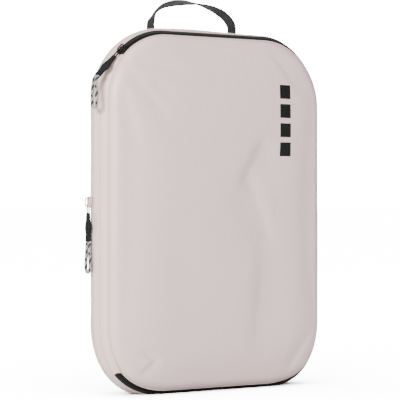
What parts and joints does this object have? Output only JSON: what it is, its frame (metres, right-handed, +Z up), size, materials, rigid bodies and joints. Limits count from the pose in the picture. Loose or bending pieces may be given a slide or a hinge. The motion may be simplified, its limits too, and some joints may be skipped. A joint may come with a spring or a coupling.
{
  "type": "packing cube",
  "caption": "Soft rectangular packing cube with rounded corners, a fold-open zipped lid, a compression zip around its side wall and a webbing carry handle.",
  "frame": {"origin": "middle of the flat base strip that the cube stands on", "axes": "+X to the right seen from the front, -Y out of the front panel, +Z up along the cube's length to the handle"},
  "size_m": [0.2753, 0.0713, 0.3868],
  "materials": {
    "shell_fabric": "fine coated ripstop, soft sheen, off-white with a pink tint",
    "lining_fabric": "thin uncoated fabric",
    "binding_tape": "woven seam binding",
    "pale_zip_tape": "woven zip tape in the shell's colour",
    "pale_coil": "nylon coil",
    "black_zip_tape": "coated black zip tape",
    "black_coil": "nylon coil",
    "black_metal": "satin black paint",
    "cream_metal": "satin cream paint",
    "black_grip": "moulded soft grip",
    "flecked_cord": "braided cord, pale with black flecks",
    "black_webbing": "flat woven webbing",
    "black_print": "matt screen print"
  },
  "bodies": {
    "rear_tub": {"rear_panel": "shell_fabric", "rear_gusset": "shell_fabric", "rear_binding": "binding_tape", "expansion_gusset": "lining_fabric", "compression_tape_rear": "pale_zip_tape", "compression_coil_rear": "pale_coil"},
    "handle": {"handle_strap": "black_webbing"},
    "front_frame": {"front_gusset": "shell_fabric", "compression_tape_front": "pale_zip_tape", "compression_coil_front": "pale_coil", "main_tape_gusset": "black_zip_tape", "main_coil_gusset": "black_coil", "hinge_strip": "shell_fabric", "hinge_panel": "shell_fabric", "zip_end_tab_upper": "shell_fabric", "zip_end_tab_lower": "shell_fabric"},
    "lid": {"front_panel": "shell_fabric", "main_tape_lid": "black_zip_tape", "main_coil_lid": "black_coil", "lid_binding": "binding_tape", "printed_mark": "black_print"},
    "main_slider": {"main_slider_body": "black_metal", "main_slider_bail": "black_metal"},
    "main_puller": {"main_pull_link": "black_grip", "main_pull_grip": "black_grip", "main_pull_cord": "flecked_cord"},
    "compression_slider": {"compression_slider_body": "cream_metal", "compression_slider_bail": "cream_metal"},
    "compression_puller": {"compression_pull_link": "cream_metal", "compression_pull_grip": "black_grip", "compression_pull_cord": "flecked_cord"}
  },
  "joints": [
    {"name": "expansion", "type": "slide", "parent": "rear_tub", "child": "front_frame", "axis": [0, -1, 0], "range_m": [0, 0.04], "deforming": ["expansion_gusset"]},
    {"name": "lid_fold", "type": "hinge", "parent": "front_frame", "child": "lid", "pos_m": [-0.10758, -0.04388, 0.176], "axis": [0, 0, -1], "range_deg": [0, 165]},
    {"name": "main_slider_travel", "type": "hinge", "parent": "front_frame", "child": "main_slider", "pos_m": [-0.0595, -0.026, 0.283], "axis": [0, 1, 0], "range_deg": [0, 45]},
    {"name": "main_puller_swing", "type": "hinge", "parent": "main_slider", "child": "main_puller", "pos_m": [-0.11227, -0.02705, 0.33266], "axis": [-0.2209, 0.9499, 0.2209], "range_deg": [0, 170]},
    {"name": "compression_slider_travel", "type": "slide", "parent": "rear_tub", "child": "compression_slider", "axis": [0, 0, 1], "range_m": [0, 0.09]},
    {"name": "compression_puller_swing", "type": "hinge", "parent": "compression_slider", "child": "compression_puller", "pos_m": [-0.13585, -0.0078, 0.1848], "axis": [0, 1, 0], "range_deg": [0, 170]},
    {"name": "handle_fold", "type": "hinge", "parent": "rear_tub", "child": "handle", "pos_m": [0, 0.0132, 0.35361], "axis": [1, 0, 0], "range_deg": [-80, 50], "stiffness_Nm_per_rad": 0.003}
  ]
}
